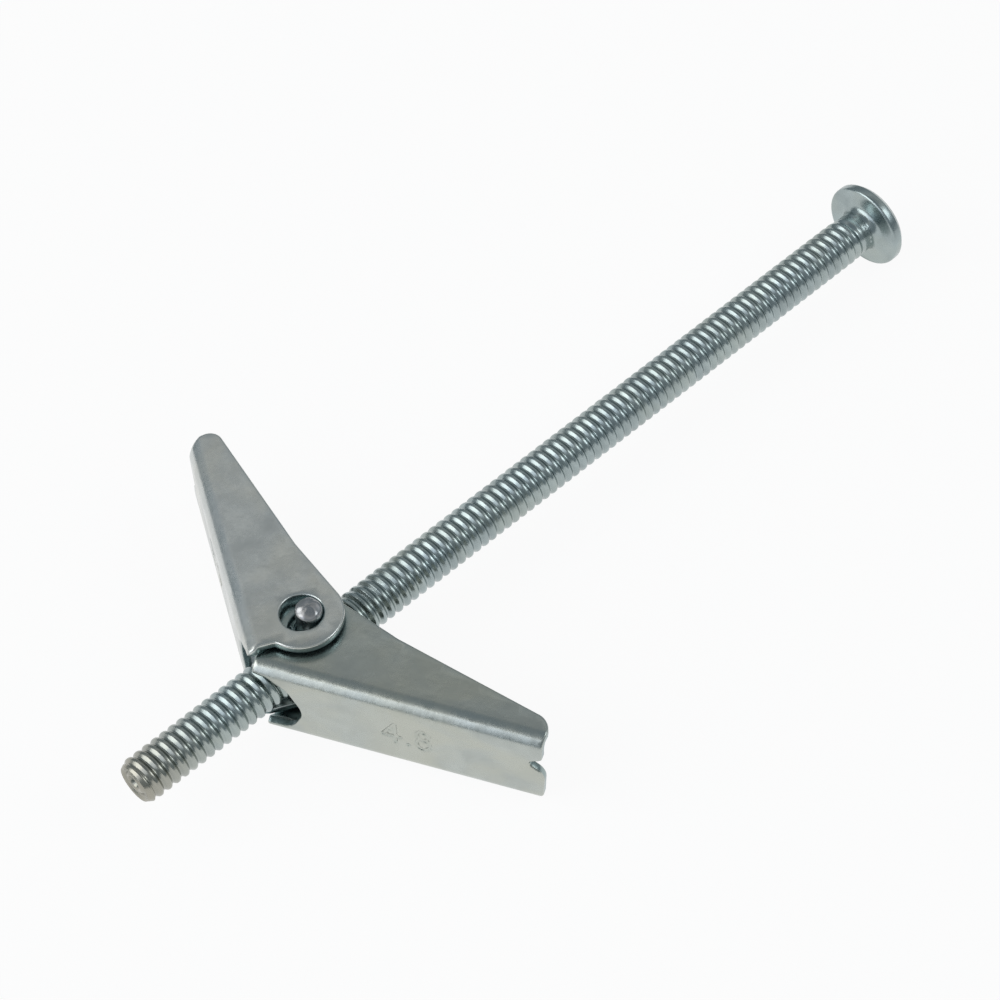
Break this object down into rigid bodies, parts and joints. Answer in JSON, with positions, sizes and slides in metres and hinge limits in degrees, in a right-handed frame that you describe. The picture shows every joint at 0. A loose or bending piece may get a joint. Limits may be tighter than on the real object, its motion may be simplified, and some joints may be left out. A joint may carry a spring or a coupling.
{
  "type": "spring toggle bolt",
  "caption": "Long slotted machine screw whose trunnion nut carries two folding sheet-steel wings that a small spring opens behind a hollow wall.",
  "frame": {"origin": "centre of the flat bearing face under the screw's head, on the screw's axis", "axes": "+X out of the head along the screw, +Z along the hinge axis of the wings, +Y to the left of +X"},
  "size_m": [0.1045, 0.0526, 0.013],
  "materials": {
    "screw_zinc": "clear zinc plated steel, bright with faint blue-green tints",
    "nut_zinc": "clear zinc plated steel, satin",
    "wing_zinc": "clear zinc plated sheet steel, satin with fine scratches",
    "spring_wire": "plain spring steel wire"
  },
  "bodies": {
    "screw": {"screw": "screw_zinc"},
    "nut": {"trunnion_nut": "nut_zinc", "spring": "spring_wire"},
    "wing_left": {"wing_left": "wing_zinc"},
    "wing_right": {"wing_right": "wing_zinc"}
  },
  "joints": [
    {"name": "nut_travel", "type": "slide", "parent": "screw", "child": "nut", "axis": [1, 0, 0], "range_m": [-0.018, 0.0476]},
    {"name": "wing_left_hinge", "type": "hinge", "parent": "nut", "child": "wing_left", "pos_m": [-0.079, 0, 0], "axis": [0, 0, -1], "range_deg": [0, 68], "stiffness_Nm_per_rad": 0.02, "springref_deg": -28.65, "deforming": ["spring"]},
    {"name": "wing_right_hinge", "type": "hinge", "parent": "nut", "child": "wing_right", "pos_m": [-0.079, 0, 0], "axis": [0, 0, 1], "range_deg": [0, 68], "stiffness_Nm_per_rad": 0.02, "springref_deg": -28.65, "deforming": ["spring"]}
  ]
}
